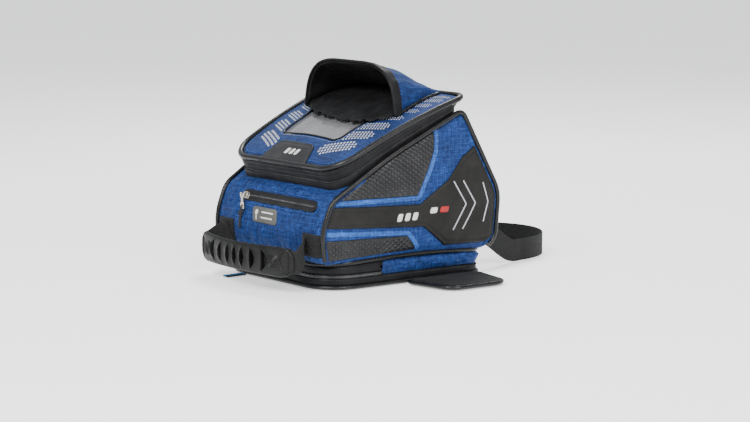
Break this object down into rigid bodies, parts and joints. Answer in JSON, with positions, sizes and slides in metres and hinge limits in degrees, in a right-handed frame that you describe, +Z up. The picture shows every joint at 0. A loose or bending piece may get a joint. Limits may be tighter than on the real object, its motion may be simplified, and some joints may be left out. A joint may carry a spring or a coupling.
{
  "type": "motorcycle tank bag",
  "caption": "Wedge-shaped soft tank bag on a magnetic base, with a zipped map-window lid, raised sun hood, rear grab handle, key pocket and a headstock strap.",
  "frame": {"origin": "centre of the flat underside of the base, where it rests on the tank", "axes": "+X forward, towards the handlebars; +Y to the rider's left; +Z up"},
  "size_m": [0.4269, 0.3526, 0.2373],
  "materials": {
    "blue_fabric": "heathered ripstop",
    "black_coated_fabric": "coated, fine grain",
    "piping_vinyl": "semi-gloss",
    "moulded_rubber": "satin, debossed edge",
    "anti_slip_rubber": "matte",
    "grip_rubber": "matte",
    "webbing": "ribbed weave",
    "eva_foam": "lined foam",
    "stiffener_board": "matte",
    "lining_cloth": "plain weave",
    "zip_tape": "coil zip",
    "slider_metal": "cast, nickel plated",
    "pull_cord": "braided",
    "label_rubber": "matte",
    "woven_tab": "woven",
    "buckle_plastic": "fine texture",
    "magnet": "plated",
    "window_film": "clear vinyl",
    "wing_cloth": "plain weave"
  },
  "bodies": {
    "bag_body": {"base_pad": "anti_slip_rubber", "base_magnet_left": "magnet", "base_magnet_right": "magnet", "base_board": "stiffener_board", "base_lower_band": "black_coated_fabric", "base_lower_piping": "piping_vinyl", "base_zip_lower": "zip_tape", "base_zip_upper": "zip_tape", "base_upper_band": "black_coated_fabric", "base_front_gusset": "blue_fabric", "base_upper_piping": "piping_vinyl", "rear_tab": "woven_tab", "floor_board": "stiffener_board", "side_panel_left": "blue_fabric", "side_panel_right": "blue_fabric", "side_armour_left": "moulded_rubber", "side_armour_right": "moulded_rubber", "side_piping_left": "piping_vinyl", "side_piping_right": "piping_vinyl", "rear_panel": "blue_fabric", "front_panel": "blue_fabric", "liner": "lining_cloth", "rim_collar": "black_coated_fabric", "lid_zip_lower": "zip_tape", "handle_anchor_left": "webbing", "handle_anchor_right": "webbing", "pocket_zip_tape": "zip_tape", "pocket_label": "label_rubber", "strap_long": "webbing", "strap_short": "webbing", "strap_buckle_female": "buckle_plastic", "strap_buckle_male": "buckle_plastic", "wing_left_hinge_cloth": "wing_cloth", "wing_right_hinge_cloth": "wing_cloth"},
    "lid": {"lid_band": "black_coated_fabric", "lid_zip_upper": "zip_tape", "lid_piping": "piping_vinyl", "lid_panel": "blue_fabric", "window_film": "window_film", "lid_foam": "eva_foam", "lid_badge": "moulded_rubber"},
    "hood": {"hood_top": "blue_fabric", "hood_mouth_batten": "piping_vinyl", "hood_side_left": "blue_fabric", "hood_side_right": "blue_fabric"},
    "handle": {"handle_grip": "grip_rubber", "handle_web_left": "webbing", "handle_web_right": "webbing"},
    "pocket_slider": {"pocket_slider": "slider_metal"},
    "pocket_pull": {"pocket_pull": "slider_metal", "pocket_pull_cord": "pull_cord"},
    "lid_zip_slider": {"lid_zip_slider": "slider_metal"},
    "lid_zip_pull": {"lid_zip_pull": "pull_cord"},
    "base_zip_slider": {"base_zip_slider": "slider_metal"},
    "base_zip_pull": {"base_zip_pull": "pull_cord"},
    "wing_left": {"wing_left_flap": "wing_cloth", "wing_left_magnet": "magnet"},
    "wing_right": {"wing_right_flap": "wing_cloth", "wing_right_magnet": "magnet"}
  },
  "joints": [
    {"name": "lid_hinge", "type": "hinge", "parent": "bag_body", "child": "lid", "pos_m": [0.0719, 0, 0.19025], "axis": [0, 1, 0], "range_deg": [0, 100]},
    {"name": "hood_fold", "type": "hinge", "parent": "lid", "child": "hood", "pos_m": [0.068, 0, 0.20455], "axis": [0, 1, 0], "range_deg": [-30, 0], "deforming": ["hood_side_left", "hood_side_right"]},
    {"name": "handle_swing", "type": "hinge", "parent": "bag_body", "child": "handle", "pos_m": [-0.11643, 0, 0.047], "axis": [0, 1, 0], "range_deg": [0, 80], "deforming": ["handle_web_left", "handle_web_right"]},
    {"name": "pocket_slider_slide", "type": "slide", "parent": "bag_body", "child": "pocket_slider", "axis": [0, -1, 0], "range_m": [0, 0.112]},
    {"name": "pocket_pull_swing", "type": "hinge", "parent": "pocket_slider", "child": "pocket_pull", "pos_m": [-0.11222, 0.048, 0.08995], "axis": [1, 0, 0], "range_deg": [-70, 70]},
    {"name": "lid_zip_slider_slide", "type": "slide", "parent": "bag_body", "child": "lid_zip_slider", "axis": [0.9102, 0.0755, 0.4073], "range_m": [-0.035, 0.015]},
    {"name": "lid_zip_pull_swing", "type": "hinge", "parent": "lid_zip_slider", "child": "lid_zip_pull", "pos_m": [0.01177, 0.10889, 0.16564], "axis": [-0.0729, 0.9973, 0], "range_deg": [-60, 60]},
    {"name": "base_zip_slider_slide", "type": "slide", "parent": "bag_body", "child": "base_zip_slider", "axis": [-0.9976, -0.0698, 0], "range_m": [0, 0.02]},
    {"name": "base_zip_pull_swing", "type": "hinge", "parent": "base_zip_slider", "child": "base_zip_pull", "pos_m": [-0.04522, 0.10205, 0.0142], "axis": [-0.0698, 0.9976, 0], "range_deg": [-60, 60]},
    {"name": "wing_left_hinge", "type": "hinge", "parent": "bag_body", "child": "wing_left", "pos_m": [0.042, 0.11415, 0.0005], "axis": [0.9976, 0.0698, 0], "range_deg": [0, 80]},
    {"name": "wing_right_hinge", "type": "hinge", "parent": "bag_body", "child": "wing_right", "pos_m": [0.042, -0.11415, 0.0005], "axis": [-0.9976, 0.0698, 0], "range_deg": [0, 80]}
  ]
}
